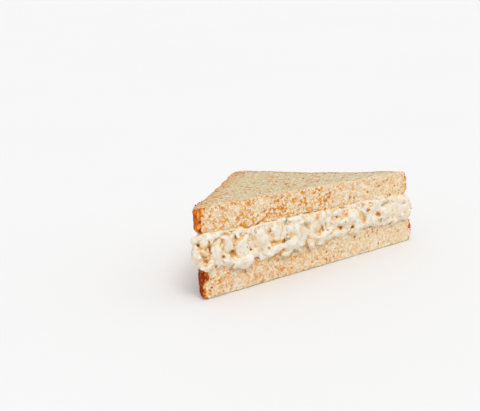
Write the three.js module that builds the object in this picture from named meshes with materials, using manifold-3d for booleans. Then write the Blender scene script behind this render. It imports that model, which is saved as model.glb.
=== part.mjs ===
// Half of a chicken salad sandwich on wheat bread, cut from corner to corner of a square slice.
// Two slices of bread hold a thick layer of chunky salad, which bulges out of the cut and shows
// between the crusts at the back. Millimetres, +Z up. The half lies flat on its lower slice: the cut
// face looks along -Y, the two crusted sides meet at the back, and the origin is the middle of the
// half's box on the surface that it lies on.
import * as THREE from "three";
import { SimplexNoise } from "three/addons/math/SimplexNoise.js";
import { mergeVertices } from "three/addons/utils/BufferGeometryUtils.js";
import Module from "manifold-3d";

const wasm = await Module();
wasm.setup();

// The square slice has rounded corners, and its sides curve in a little.
const SLICE_SIDE = 104;
const CORNER_RADIUS = 9;
const SIDE_WAIST = 1.1;
const BREAD_THICKNESS = 13.5;
const CRUST_ROUNDING = 2.4;
// The cut passes just beside the left corner, so that this half keeps all of that corner's crust.
// Both ends are given as the direction, in degrees, that the crust faces there.
const CUT_LEFT_FACES = 190;
const CUT_RIGHT_FACES = 4;
// Thickness at the left and right ends of the cut and at the back corner
const LOWER_SLICE = { left: 15.8, right: 12.9, back: 13.5 };
const SALAD = { left: 17.9, right: 14.7, back: 15.1 };
// The upper slice is a little shorter along the cut than the lower one, and lies a little further left.
const UPPER_SLICE_LENGTH_SHARE = 0.982;
const UPPER_SLICE_SHIFT = -1.75;
const UPPER_SLICE_SAG = 1.0;
// Low waves in the surfaces: height, and the length over which they change
const LOWER_SLICE_WAVE = { height: 0.5, length: 24 };
const SALAD_WAVE = { height: 0.7, length: 19 };
const UPPER_SLICE_WAVE = { height: 0.3, length: 18 };
const CRUST_WAVE = { height: 0.25, length: 10 };
const SAWN_WAVE = { height: 0.35, length: 7 };

// How far the salad's packed core stays behind the crusts, and stands out of the cut
const SALAD_BEHIND_CRUST = 2.6;
const SALAD_OUT_OF_CUT = 1.2;
const SALAD_CRUST_BULGE = 0.8;
const SALAD_CUT_WAVE = { height: 0.5, length: 6 };
// Pieces of the salad that show: radius range, and how much they are stretched. Those over the
// large radius are rounder, and the rest have the fewest sides.
const LUMP_RADIUS = { least: 2.2, large: 3.3, most: 4.3 };
const LUMP_STRETCH = { least: 1.0, most: 1.4 };
const LUMP_DENT = 0.22;
// Rows of pieces between the slices: 0 lies on the lower slice and 1 touches the upper one.
const CUT_LUMP_ROWS = [0, 0.5, 1];
const CUT_LUMP_SPACING = 5.2;
const CUT_LUMP_REACH = { mean: 2.4, spread: 1.2 };
const CRUST_LUMP_ROWS = [0.05, 0.95];
const CRUST_LUMP_SPACING = 7.5;
// Pieces that hang out over the lower slice, from the left end to somewhat right of the middle
const OVERHANG = { row: -0.3, reach: 3.7, to: 12, spacing: 6.2 };
// Clearance between the salad and the bread, and how much further the salad's core stays away
const GAP = 0.3;
const CORE_SLACK = 0.25;

// Mesh steps
const CORNER_STEPS = 6;
const SIDE_STEPS = 18;
const ROWS_IN_SIGHT = 7;
const ROWS_HIDDEN = 3;
const ROUNDING_ANGLES = [0, 45, 90];
const SALAD_LEVELS = [0, 0.35, 0.65, 1];

const HALF_DIAGONAL = SLICE_SIDE / Math.SQRT2;
const CORNER_CENTRE = HALF_DIAGONAL - CORNER_RADIUS * Math.SQRT2;
const HALF_CUT = CORNER_CENTRE + CORNER_RADIUS;

function seededRandom(seed) {
  let state = seed;
  return () => {
    state = (state + 0x6d2b79f5) | 0;
    let t = Math.imul(state ^ (state >>> 15), 1 | state);
    t = (t + Math.imul(t ^ (t >>> 7), 61 | t)) ^ t;
    return ((t ^ (t >>> 14)) >>> 0) / 4294967296;
  };
}

const noise = new SimplexNoise({ random: seededRandom(11) });

function lerp(a, b, t) {
  return a + (b - a) * t;
}

// A wave's height at the point x, y. Each surface has waves of its own, picked by layer.
function waved({ height, length }, x, y, layer = 0) {
  return height * noise.noise(x / length + 40 * layer, y / length);
}

// A thickness given at the three corners of the half, at the point x, y
function blended(corners, x, y) {
  const back = y / HALF_CUT;
  const left = (1 - back - x / HALF_CUT) / 2;
  const right = 1 - back - left;
  return corners.left * left + corners.right * right + corners.back * back;
}

// Heights of the four surfaces, from the table up
function lowerSliceTop(x, y) {
  return blended(LOWER_SLICE, x, y) + waved(LOWER_SLICE_WAVE, x, y);
}

function upperSliceUnderside(x, y) {
  return lowerSliceTop(x, y) + blended(SALAD, x, y) + waved(SALAD_WAVE, x, y, 1);
}

// The upper slice dips halfway along the side that runs from the back corner to the right. Lumps of
// salad press into its underside, but its top stays even.
function upperSliceTop(x, y) {
  const along = THREE.MathUtils.clamp((x - y) / HALF_CUT / 2 + 0.5, 0, 1);
  const towardsSide = THREE.MathUtils.clamp((x + y) / HALF_CUT, 0, 1);
  const sag = UPPER_SLICE_SAG * Math.sin(Math.PI * along) * towardsSide;
  const even = blended(LOWER_SLICE, x, y) + blended(SALAD, x, y) + BREAD_THICKNESS;
  return even - sag + waved(UPPER_SLICE_WAVE, x, y, 2);
}

// Points along the crust from the left end of the cut, round the back corner, to the right end,
// each with the direction that the crust faces
function crustPath() {
  const path = [];
  const facing = (degrees) => {
    const angle = THREE.MathUtils.degToRad(degrees);
    return new THREE.Vector2(Math.cos(angle), Math.sin(angle));
  };
  const corner = (x, y, from, to) => {
    for (let i = 0; i <= CORNER_STEPS; i++) {
      const out = facing(lerp(from, to, i / CORNER_STEPS));
      path.push({ at: new THREE.Vector2(x, y).addScaledVector(out, CORNER_RADIUS), out });
    }
  };
  const side = (toX, toY, faces) => {
    const out = facing(faces);
    const from = path[path.length - 1].at;
    const to = new THREE.Vector2(toX, toY).addScaledVector(out, CORNER_RADIUS);
    for (let i = 1; i < SIDE_STEPS; i++) {
      const t = i / SIDE_STEPS;
      const waist = SIDE_WAIST * Math.sin(Math.PI * t) + waved(CRUST_WAVE, t * SLICE_SIDE, faces);
      path.push({ at: from.clone().lerp(to, t).addScaledVector(out, -waist), out });
    }
  };
  corner(-CORNER_CENTRE, 0, CUT_LEFT_FACES, 135);
  side(0, CORNER_CENTRE, 135);
  corner(0, CORNER_CENTRE, 135, 45);
  side(CORNER_CENTRE, 0, 45);
  corner(CORNER_CENTRE, 0, 45, CUT_RIGHT_FACES);
  return path;
}

const CRUST_PATH = crustPath();
const COLUMNS = CRUST_PATH.length - 1;

// Share of the way from the left end to the right end at which each column of the mesh meets the cut
const CUT_SHARES = CRUST_PATH.reduce((shares, { at }, i) => {
  shares.push(i ? shares[i - 1] + at.distanceTo(CRUST_PATH[i - 1].at) : 0);
  return shares;
}, []).map((length, i, all) => length / all[COLUMNS]);

// The cut runs straight from the left end of the crust to its right end.
function cutLine(x) {
  const [left, right] = [CRUST_PATH[0].at, CRUST_PATH[COLUMNS].at];
  return lerp(left.y, right.y, (x - left.x) / (right.x - left.x));
}

// A closed slab over the half's outline, between two height functions. The crust is pulled in by
// inset(depth), where depth is 0 on top and 1 below, and the cut is pushed out by bulge(x, depth).
function slabGeometry({ under, over, levels, inset, bulge, flatUnderside = false, topRows = ROWS_HIDDEN }) {
  const positions = [];
  const triangles = [];
  const add = (x, y, depth) => {
    const bottom = flatUnderside ? 0 : under(x, y);
    positions.push(x, y, lerp(over(x, y), bottom, depth));
    return positions.length / 3 - 1;
  };
  const quad = (a, b, c, d) => triangles.push(a, b, c, a, c, d);

  const crustAt = (column, depth) => {
    const { at, out } = CRUST_PATH[column];
    return at.clone().addScaledVector(out, -inset(depth));
  };
  const cutAt = (column, depth) => {
    const share = CUT_SHARES[column];
    const point = crustAt(0, depth).lerp(crustAt(COLUMNS, depth), share);
    const fade = Math.min(1, 12 * share * (1 - share));
    point.y -= fade * bulge(point.x, depth);
    return point;
  };

  // Rings of the crust and the cut, from the top to the bottom
  const rings = levels.map((depth) => {
    const crust = CRUST_PATH.map((_, i) => {
      const p = crustAt(i, depth);
      return add(p.x, p.y, depth);
    });
    const cut = crust.map((index, i) => {
      if (i === 0 || i === COLUMNS) return index;
      const p = cutAt(i, depth);
      return add(p.x, p.y, depth);
    });
    return { crust, cut };
  });
  for (let level = 1; level < rings.length; level++) {
    const [upper, lower] = [rings[level - 1], rings[level]];
    for (let i = 0; i < COLUMNS; i++) {
      quad(upper.crust[i], upper.crust[i + 1], lower.crust[i + 1], lower.crust[i]);
      quad(upper.cut[i + 1], upper.cut[i], lower.cut[i], lower.cut[i + 1]);
    }
  }

  // The top and the underside, in rows from the cut to the crust
  const face = (ring, depth, rows, facesUp) => {
    let row = ring.cut;
    for (let r = 1; r <= rows; r++) {
      const last = r === rows;
      const next = ring.crust.map((index, i) => {
        if (last || i === 0 || i === COLUMNS) return index;
        const p = cutAt(i, depth).lerp(crustAt(i, depth), r / rows);
        return add(p.x, p.y, depth);
      });
      for (let i = 0; i < COLUMNS; i++) {
        if (facesUp) quad(row[i], row[i + 1], next[i + 1], next[i]);
        else quad(row[i + 1], row[i], next[i], next[i + 1]);
      }
      row = next;
    }
  };
  face(rings[0], levels[0], topRows, true);
  face(rings[rings.length - 1], levels[levels.length - 1], ROWS_HIDDEN, false);

  const filled = [];
  for (let i = 0; i < triangles.length; i += 3) {
    const [a, b, c] = triangles.slice(i, i + 3);
    if (a !== b && b !== c && c !== a) filled.push(a, b, c);
  }
  return new THREE.BufferGeometry()
    .setAttribute("position", new THREE.Float32BufferAttribute(positions, 3))
    .setIndex(filled);
}

// A slice of bread: rounded crust edges, and a sawn cut that wanders a little. grow swells it on
// every side, which makes the space that the salad has to leave free.
function sliceGeometry(under, over, { grow = 0, flatUnderside, topRows } = {}) {
  const rounding = ROUNDING_ANGLES.map((angle) => {
    const a = THREE.MathUtils.degToRad(angle);
    return { inset: CRUST_ROUNDING * (1 - Math.sin(a)), drop: CRUST_ROUNDING * (1 - Math.cos(a)) };
  });
  const drops = rounding.map(({ drop }) => drop / BREAD_THICKNESS);
  const levels = [...drops, 0.5, ...drops.map((d) => 1 - d).reverse()];
  const inset = (depth) => {
    const fromEdge = Math.min(depth, 1 - depth);
    const step = drops.findIndex((d) => fromEdge <= d + 1e-6);
    return (step < 0 ? 0 : rounding[step].inset) - grow;
  };
  const bulge = (x, depth) => grow + waved(SAWN_WAVE, x, depth * BREAD_THICKNESS + under(0, 0));
  return slabGeometry({
    under: (x, y) => under(x, y) - grow,
    over: (x, y) => over(x, y) + grow,
    levels,
    inset,
    bulge,
    flatUnderside,
    topRows,
  });
}

// The packed salad without the pieces that show
function saladCoreGeometry() {
  const bulge = (x, depth) => {
    const wave = waved(SALAD_CUT_WAVE, x, depth * SALAD.left, 3);
    return SALAD_OUT_OF_CUT * Math.sin(Math.PI * depth) + wave;
  };
  return slabGeometry({
    under: (x, y) => lowerSliceTop(x, y) + GAP + CORE_SLACK,
    over: (x, y) => upperSliceUnderside(x, y) - GAP - CORE_SLACK,
    levels: SALAD_LEVELS,
    inset: (depth) => SALAD_BEHIND_CRUST - SALAD_CRUST_BULGE * Math.sin(Math.PI * depth),
    bulge,
  });
}

// One piece of chicken: a stretched, dented ball, turned any way
function lumpGeometry(random, radius, centre, detail) {
  const lump = new THREE.IcosahedronGeometry(radius, detail);
  const position = lump.getAttribute("position");
  const at = new THREE.Vector3();
  const offset = random() * 100;
  for (let i = 0; i < position.count; i++) {
    at.fromBufferAttribute(position, i);
    const dent = 1 + LUMP_DENT * noise.noise3d(at.x / radius + offset, at.y / radius, at.z / radius);
    at.multiplyScalar(dent);
    position.setXYZ(i, at.x, at.y, at.z);
  }
  const stretch = lerp(LUMP_STRETCH.least, LUMP_STRETCH.most, random());
  const turn = new THREE.Euler(random() * Math.PI, random() * Math.PI, random() * Math.PI);
  const place = new THREE.Matrix4().compose(
    centre,
    new THREE.Quaternion().setFromEuler(turn),
    new THREE.Vector3(stretch, 1, 1 / Math.sqrt(stretch)),
  );
  return lump.applyMatrix4(place);
}

// Rows of pieces along the cut, a few that hang out over the lower slice, and rows of coarser ones
// between the crusts
function lumpGeometries() {
  const random = seededRandom(29);
  const lumps = [];
  const around = (value, spread) => value + (random() - 0.5) * 2 * spread;
  const drawnRadius = () => lerp(LUMP_RADIUS.least, LUMP_RADIUS.most, random() ** 1.4);
  const add = (x, y, row, radius, detail) => {
    const room = 1.1 * radius + GAP;
    const z = lerp(lowerSliceTop(x, y) + room, upperSliceUnderside(x, y) - room, row);
    lumps.push(lumpGeometry(random, radius, new THREE.Vector3(x, y, z), detail));
  };
  const addAtCut = (x, row, reach, radius, detail) => add(x, cutLine(x) - reach + radius, row, radius, detail);

  for (const row of CUT_LUMP_ROWS) {
    const start = -HALF_CUT + around(1.5, 1);
    for (let x = start; x < HALF_CUT; x += around(CUT_LUMP_SPACING, 1)) {
      const radius = drawnRadius();
      const reach = around(CUT_LUMP_REACH.mean, CUT_LUMP_REACH.spread);
      addAtCut(x, around(row, 0.08), reach, radius, radius > LUMP_RADIUS.large ? 1 : 0);
    }
  }
  for (let x = -HALF_CUT + 2; x < OVERHANG.to; x += around(OVERHANG.spacing, 2)) {
    addAtCut(x, around(OVERHANG.row, 0.1), around(OVERHANG.reach, 0.4), drawnRadius(), 0);
  }

  let walked = 0;
  for (let i = 1; i <= COLUMNS; i++) {
    const { at, out } = CRUST_PATH[i];
    walked += at.distanceTo(CRUST_PATH[i - 1].at);
    if (walked < CRUST_LUMP_SPACING) continue;
    walked = around(0, 1.5);
    for (const row of CRUST_LUMP_ROWS) {
      const centre = at.clone().addScaledVector(out, -SALAD_BEHIND_CRUST - around(0.6, 1.2));
      add(centre.x, centre.y, around(row, 0.12), drawnRadius(), 0);
    }
  }
  return lumps;
}

function toSolid(geometry) {
  const bare = new THREE.BufferGeometry().setAttribute("position", geometry.getAttribute("position"));
  if (geometry.index) bare.setIndex(geometry.index);
  const merged = mergeVertices(bare, 1e-4);
  return new wasm.Manifold(
    new wasm.Mesh({
      numProp: 3,
      vertProperties: merged.getAttribute("position").array,
      triVerts: new Uint32Array(merged.index.array),
    }),
  );
}

function toGeometry(solid) {
  const { vertProperties, triVerts, numProp } = solid.getMesh();
  const positions = new Float32Array((vertProperties.length / numProp) * 3);
  for (let i = 0; i < positions.length / 3; i++) {
    positions.set(vertProperties.subarray(i * numProp, i * numProp + 3), i * 3);
  }
  const geometry = new THREE.BufferGeometry()
    .setAttribute("position", new THREE.BufferAttribute(positions, 3))
    .setIndex(new THREE.BufferAttribute(new Uint32Array(triVerts), 1));
  geometry.computeVertexNormals();
  return geometry;
}

const flat = () => 0;

function lowerSlice() {
  return sliceGeometry(flat, lowerSliceTop, { flatUnderside: true });
}

function upperSlice(grow = 0) {
  const [shift, share] = [UPPER_SLICE_SHIFT, UPPER_SLICE_LENGTH_SHARE];
  const under = (x, y) => upperSliceUnderside(x * share + shift, y);
  const over = (x, y) => upperSliceTop(x * share + shift, y);
  const slice = sliceGeometry(under, over, { grow, topRows: ROWS_IN_SIGHT });
  return slice.scale(share, 1, 1).translate(shift, 0, 0);
}

// The core and its pieces fused into one body, clear of both slices. A scrap cut loose is dropped.
function salad() {
  const pieces = lumpGeometries().map(toSolid);
  const whole = toSolid(saladCoreGeometry()).add(wasm.Manifold.union(pieces));
  const lowerSpace = toSolid(sliceGeometry(flat, lowerSliceTop, { grow: GAP }));
  const upperSpace = toSolid(upperSlice(GAP));
  const clear = whole.subtract(lowerSpace).subtract(upperSpace);
  const bodies = clear.decompose().sort((a, b) => b.volume() - a.volume());
  return toGeometry(bodies[0]);
}

function namedMesh(name, geometry, colour, roughness) {
  const material = new THREE.MeshStandardMaterial({ color: colour, roughness, metalness: 0 });
  const mesh = new THREE.Mesh(geometry, material);
  mesh.name = name;
  return mesh;
}

const CRUMB_COLOUR = 0xe3c596;
const SALAD_COLOUR = 0xf0e2c8;

const sandwich = new THREE.Group();
sandwich.add(
  namedMesh("bread_bottom", lowerSlice(), CRUMB_COLOUR, 0.9),
  namedMesh("chicken_salad", salad(), SALAD_COLOUR, 0.5),
  namedMesh("bread_top", upperSlice(), CRUMB_COLOUR, 0.9),
);

// Move the middle of the half's box to the origin.
const box = new THREE.Box3().setFromObject(sandwich);
const middle = box.getCenter(new THREE.Vector3());
sandwich.position.set(-middle.x, -middle.y, -box.min.z);

export default sandwich;
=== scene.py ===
# Looks of half a chicken salad sandwich: open wheat crumb with a browned crust, and a thick layer of
# dressed chicken between the slices. Metres in Blender, millimetres wherever a name or comment says so.
import itertools
import math
from collections import namedtuple

import bmesh
import bpy
import numpy as np
from mathutils import Matrix, Vector
from mathutils.bvhtree import BVHTree


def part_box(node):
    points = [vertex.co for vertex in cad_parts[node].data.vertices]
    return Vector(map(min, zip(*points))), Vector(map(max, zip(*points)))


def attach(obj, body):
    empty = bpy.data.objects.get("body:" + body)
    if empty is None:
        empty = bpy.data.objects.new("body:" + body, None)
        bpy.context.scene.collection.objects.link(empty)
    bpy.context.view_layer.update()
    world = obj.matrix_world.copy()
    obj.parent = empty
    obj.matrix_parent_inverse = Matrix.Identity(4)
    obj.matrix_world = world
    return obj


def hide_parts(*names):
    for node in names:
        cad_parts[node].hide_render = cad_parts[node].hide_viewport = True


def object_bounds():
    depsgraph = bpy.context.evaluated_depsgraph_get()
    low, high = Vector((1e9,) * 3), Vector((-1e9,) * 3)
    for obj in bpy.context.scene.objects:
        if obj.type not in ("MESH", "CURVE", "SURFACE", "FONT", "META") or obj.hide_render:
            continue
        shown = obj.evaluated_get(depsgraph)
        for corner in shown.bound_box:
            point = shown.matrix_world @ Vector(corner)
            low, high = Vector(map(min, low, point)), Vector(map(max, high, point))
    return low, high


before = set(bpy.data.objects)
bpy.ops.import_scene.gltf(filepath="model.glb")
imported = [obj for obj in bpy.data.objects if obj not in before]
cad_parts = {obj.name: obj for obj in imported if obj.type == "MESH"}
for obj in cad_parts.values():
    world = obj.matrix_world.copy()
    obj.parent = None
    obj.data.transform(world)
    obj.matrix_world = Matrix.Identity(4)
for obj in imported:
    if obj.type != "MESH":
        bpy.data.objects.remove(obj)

CAD_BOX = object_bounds()
MM = 0.001

# Square slice that the half was cut from, in millimetres
SLICE_SIDE = 104.0
CORNER_RADIUS = 9.0
SIDE_WAIST = 1.1
HALF_CUT = SLICE_SIDE / math.sqrt(2) - CORNER_RADIUS * (math.sqrt(2) - 1)

# Photograph's frame and the camera that matches it: pixels, degrees, and millimetres from the middle
# of the lower slice's cut at table level
PHOTO_WIDTH, PHOTO_HEIGHT = 480, 411
FOCAL_PX = 900.0
VIEW_AZIMUTH, VIEW_ELEVATION, VIEW_ROLL = -31.7, 15.6, -3.7
VIEW_DISTANCE = 447.5
VIEW_TARGET = (-44.3, 0.0, 43.5)

# Sizes of the faces that the surfaces are made of, in millimetres
BREAD_VOXEL = 0.36
SALAD_VOXEL = 0.42
MOST_FACES = 185000
# How far inside a half hidden faces begin to grow and are at their largest, in so many steps
BREAD_THINNED = (3.5, 5.0)
SALAD_THINNED = (4.0, 6.0)
THIN_STEPS = 4

# How far a surface has to face a way to count as the hidden side, the cut, a flat face or the one on
# the table, and how far inside the hidden side begins, in millimetres
HIDDEN_SLOPE = (0.3, 0.6)
CUT_SLOPE = (0.3, 0.95)
FLAT_SLOPE = (0.6, 0.9)
TABLE_SLOPE = (0.5, 0.9)
HIDDEN_INSIDE = (4.0, 6.0)

# Unevenness: height and width of its waves in millimetres, and the number added to the seed
Waves = namedtuple("Waves", "height size number")
CRUST_WANDER = (Waves(0.6, 2.8, 0), Waves(0.35, 1.1, 2))
CRUST_FRAY = Waves(1.4, 0.8, 17)
CUT_WANDER = Waves(2.0, 3.5, 3)
OPEN_CRUMB = Waves(1.0, 6.0, 20)
TORN_RIM = (Waves(0.8, 2.0, 12), Waves(0.4, 0.9, 13))
WIDE_WRINKLES = Waves(1.0, 2.6, 10)
FINE_WRINKLES = Waves(0.2, 1.1, 11)
BREAD_FUZZ = Waves(0.08, 0.6, 15)
CRUST_SPOTS = Waves(1.0, 1.3, 16)
BAKE_PATCHES = Waves(0.25, 4.0, 30)
SALAD_RELIEF = (Waves(0.28, 2.6, 302), Waves(0.15, 1.2, 303))
DRESSING_PATCHES = Waves(1.0, 9.0, 305)
CHUNK_LUMPS = Waves(0.2, 0.85, 401)
# Pores: depth and spacing in millimetres, least and largest radius as shares of the spacing, and the
# number added to the seed
Pores = namedtuple("Pores", "depth size least most number")
CRUMB_PORES = (
    Pores(0.95, 3.9, 0.1, 0.42, 4),
    Pores(0.55, 2.1, 0.2, 0.6, 6),
    Pores(0.25, 1.2, 0.35, 0.75, 8),
)
CRUST_PITS = Pores(0.2, 1.5, 0.2, 0.6, 14)
SALAD_PITS = Pores(0.4, 2.9, 0.08, 0.26, 307)
# Width and reach in millimetres of the wander that pulls pores and gaps out of round, and its seed
CRUMB_BEND = (1.5, 0.42)
SALAD_BEND = (1.5, 0.5, 306)
GAP_BEND = (1.3, 0.85, 501)
# Seeds of what is drawn at random
LOWER_SEED, UPPER_SEED, CORE_SEED, PIECE_SEED, SHADE_SEED = 100, 200, 300, 350, 360
# How much darker the lower slice's crust is than the upper one's
LOWER_DARKER = 0.45

# Crust: where its colour is full and where it ends, in millimetres from the side, and what the cut and
# a flat face add to that. The wander counts this often on a side and on the cut
CRUST_SIDE = (1.0, 2.0)
CRUST_ON_CUT = (0.6, 2.4)
CRUST_ON_FLAT = (-0.8, -1.1)
SIDE_FRAY, CUT_FRAY = 0.6, 3.6
# Its wrinkled skin in the same way
BARK_DEPTH = (0.4, 1.4)
BARK_SIDE_FRAY, BARK_CUT_FRAY = 0.5, 2.0
BARK_SINK = 0.1
# Where along the cut it turns pale, thin and wrinkled, and how wide the toasted edge of a face is
PALE_END = (20.0, 60.0)
TOASTED_WIDTH = 13.0
# How dark it is baked at the least, and how much darker it is at the cut's left end
LEAST_BAKE, LEFT_END_DARKENING = 0.12, 0.45
# Height of a rim over the smoothed surface, in millimetres, and rounds of smoothing
RIM_HEIGHT = (0.12, 0.4)
RIM_ROUNDS = 14
CAVITY_ROUNDS = 8
# How deep a rim is torn, and how far the bread stands out at most, in millimetres
RIM_SINK = 0.6
MOST_RAISED = 0.25
# How far a face's front looks sawn, in millimetres from the cut, and how strongly
SAWN_REACH = (-1.0, 5.5)
SAWN_FACE = 0.55
# Bran on a face as a share of that on the cut, and where along the cut it grows less
FACE_BRAN = 0.35
LESS_BRAN = (-5.0, 40.0)

# Lumps of chicken under the surface, in millimetres
CHUNK_SPACING = 4.4
CHUNK_LENGTH = (5.5, 10.5)
CHUNK_WIDTH = (4.0, 6.2)
CHUNK_THICKNESS = (3.2, 4.6)
CHUNK_SUNK = (1.5, 2.5)
# Flat sides that each is cut to, and how far from its middle, as a share of its radius
CHUNK_FLATS = 4
FLAT_AT = (0.5, 0.85)
# Kinds of chicken that lie on the salad's forms: how many of all are of the kind, their sizes in
# millimetres, how deep their middles lie as a share of their thickness, and faces around and along
Kind = namedtuple("Kind", "share length width thickness sunk faces")
KINDS = {
    "piece": Kind(0.42, (4.5, 8.5), (3.0, 4.8), (1.8, 3.0), (0.43, 0.56), (16, 14)),
    "shred": Kind(0.2, (4.5, 9.0), (1.2, 2.0), (0.9, 1.5), (0.36, 0.54), (12, 14)),
    "flake": Kind(0.38, (1.6, 3.8), (1.0, 2.0), (0.7, 1.3), (0.2, 0.5), (8, 8)),
}
PIECE_SPACING = 3.0
FIBRE_WIDTH = 0.9
FIBRE_SEED, BUNDLE_SEED, END_SEED, KINK_SEED = 402, 403, 404, 405
# How far fibres, bundles, ends and kinks stand out and chunks are bent, as shares of their radii
FIBRE_RELIEF, BUNDLE_RELIEF, END_RELIEF, KINK_REACH = 0.13, 0.3, 0.22, 0.25
CHUNK_BEND, PIECE_BEND = 0.16, 0.3
BEND_MIDDLE = 0.3
# How much less they are sunk between the crusts, as a share of their thickness
SIDE_RAISED = 0.25
# Small lumps along the filling's edges, in millimetres: how deep, and how far in from the edge
EDGE_SPACING = 3.2
EDGE_LENGTH = (2.8, 6.0)
EDGE_WIDTH = (2.4, 3.8)
EDGE_SUNK = (0.9, 1.8)
EDGE_BELOW = (-0.4, 0.8)
EDGE_ABOVE = (0.7, 1.8)
EDGE_INSIDE = 2.0
# How far all these are turned, in radians, and tilted at random, and how far pieces follow the surface
EDGE_TURN, CHUNK_TURN, PIECE_TURN = 0.5, 0.8, 0.85
EDGE_TILT, CHUNK_TILT = 0.2, 0.22
PIECE_LEAN = 0.6
# Salad that closes the seams behind them
SEAM_SIZE = (4.8, 2.2, 3.0)
SEAM_SUNK = 1.8
MOST_OVERHANG = 0.9
# Salad this far inside the half still gets lumps and pieces of its own, but not on its flat faces
SIDE_DEPTH = 3.2
SIDE_SLOPE = (0.75, 0.95)
# The core stands back from the pieces at the sides, less so where it is thickly dressed, and reaches
# the bread above and below
CORE_INSET = 1.3
DRESSED_INSET = 0.45
CORE_REACH = 0.5
# How far the filling's right end is drawn in to where the photograph shows it, over what length, and
# how low the filling may hang over the lower slice at its left end
RIGHT_END_TRIM = 1.6
RIGHT_END_LENGTH = 18.0
LEFT_END_X = (-68.0, -58.0, -50.0)
LEFT_END_LOWEST = (15.2, 14.0, 12.0)
# Where along the cut the salad turns from loose to thickly dressed, rounds of smoothing where it is
# loose, and how many more where dressing fills its gaps
LOOSE_END = (-48.0, -30.0)
LOOSE_ROUNDS = 7
DRESSED_ROUNDS = 14
# Rays that tell how closed in a place is, and how far in millimetres they start and look, and how far
# inside the half such places lie
SHADE_RAYS = 10
SHADE_START = 0.15
SHADE_REACH = 5.0
SHADE_INSIDE = 5.0
# How far off a surface the search for a point on it begins
SEARCH_REACH = 4.0
# Places that are tried when lumps, pieces, bits and crumbs are scattered
EDGE_TRIES, CHUNK_TRIES, PIECE_TRIES, BIT_TRIES, CRUMB_TRIES = 3000, 6000, 14000, 1500, 2500

# Main lumps of salad that show at the cut. turn is that of the long way, in degrees clockwise from
# upright; size is length, width and thickness, and sunk how deep the middle lies, in millimetres
Lump = namedtuple("Lump", "pixel turn size sunk")
LUMPS = {
    "ball at the left end": Lump((195.2, 241), 0, (4.4, 4.2, 4.4), -0.3),
    "block by the left end": Lump((205, 242), 80, (6.4, 5.2, 4.2), 0.2),
    "lobe at the left end": Lump((195, 257), 0, (13.0, 5.4, 6.0), 0.5),
    "mass behind the left end": Lump((199.5, 250), 0, (16.0, 9.0, 7.0), 4.2),
    "mass between ball and lobe": Lump((196.6, 249), 0, (9.5, 6.0, 6.5), 1.3),
    "valley under the ball": Lump((201.3, 247.5), 10, (7.0, 5.2, 5.0), 1.5),
    "column at the left": Lump((216.5, 253), 4, (17.0, 6.6, 5.4), 0.3),
    "lip over the lower crust": Lump((206.5, 267), 84, (9.0, 2.6, 4.0), 0.4),
    "second column": Lump((227, 243), -6, (11.0, 6.6, 4.8), 0.5),
    "lobe under the second column": Lump((228.5, 263), 72, (7.5, 5.0, 4.4), 0.3),
    "smooth mass": Lump((243, 245), 8, (14.5, 9.4, 5.4), 0.6),
    "mass on the lower slice": Lump((247, 260), 66, (12.5, 7.4, 5.0), 0.7),
    "mass right of the fold": Lump((261, 239), 6, (12.5, 6.6, 4.8), 0.6),
    "mass below it": Lump((263, 254), 50, (9.5, 6.6, 4.8), 0.8),
    "round chunk": Lump((276, 230), 0, (8.0, 7.4, 5.4), 0.4),
    "small ball": Lump((276, 239), 0, (4.6, 5.0, 4.2), 0.3),
    "mass under the ball": Lump((277, 249), 80, (9.5, 5.6, 4.6), 0.9),
    "middle upper mass": Lump((290, 229), 12, (9.0, 7.4, 4.8), 0.9),
    "fibrous chunk": Lump((291, 244), 74, (12.0, 7.2, 5.4), 0.5),
    "green tinged lump": Lump((306, 219), 40, (8.0, 6.4, 4.8), 0.6),
    "middle mass": Lump((303, 232), -10, (11.0, 6.4, 4.8), 0.8),
    "upright shred": Lump((311, 233), 4, (7.5, 2.6, 3.2), 0.0),
    "lower middle mass": Lump((315, 241), 72, (10.0, 5.6, 4.6), 1.0),
    "upper mass": Lump((322, 218), 30, (8.0, 6.4, 4.8), 0.8),
    "mass by the arch": Lump((327, 234), 56, (9.5, 6.4, 4.8), 0.8),
    "ledge under the upper slice": Lump((337, 212), 82, (8.0, 4.2, 4.4), 0.6),
    "strip between the gaps": Lump((342, 221), 72, (8.5, 3.6, 4.2), 0.6),
    "big lump": Lump((354, 221), -8, (15.0, 10.0, 6.4), 0.5),
    "lump by the upper slice": Lump((372, 209), 64, (8.0, 5.8, 4.8), 0.5),
    "lump beside the big one": Lump((370, 221), -30, (9.5, 6.6, 4.8), 0.8),
    "upper right mass": Lump((388, 200), 74, (9.0, 5.4, 4.4), 0.7),
    "right mass": Lump((386, 212), 74, (12.0, 8.0, 5.2), 0.9),
    "right end mass": Lump((399, 209), 40, (9.5, 7.4, 4.8), 1.2),
    "ball at the right end": Lump((400.5, 197), 0, (4.8, 5.0, 4.2), 0.6),
    "ledge over the green tinged lump": Lump((304, 213.5), 84, (9.0, 3.6, 3.6), 0.6),
    "ledge right of that": Lump((318, 211), 78, (9.0, 4.0, 3.8), 0.5),
    "ledge by the big lump": Lump((328, 212), 60, (6.0, 4.0, 3.8), 0.6),
    "left foot of the big lump": Lump((343, 232), 30, (7.0, 5.0, 4.2), 0.9),
    "foot of the middle": Lump((288, 253), 80, (9.0, 3.6, 4.0), 1.0),
    "foot of the smooth mass": Lump((238, 264), 80, (9.0, 4.0, 4.2), 0.8),
    "top of the left column": Lump((213, 237), 84, (8.5, 3.4, 4.0), 0.9),
    "top of the smooth mass": Lump((251, 230), 76, (9.0, 3.8, 4.2), 1.0),
}
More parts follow.
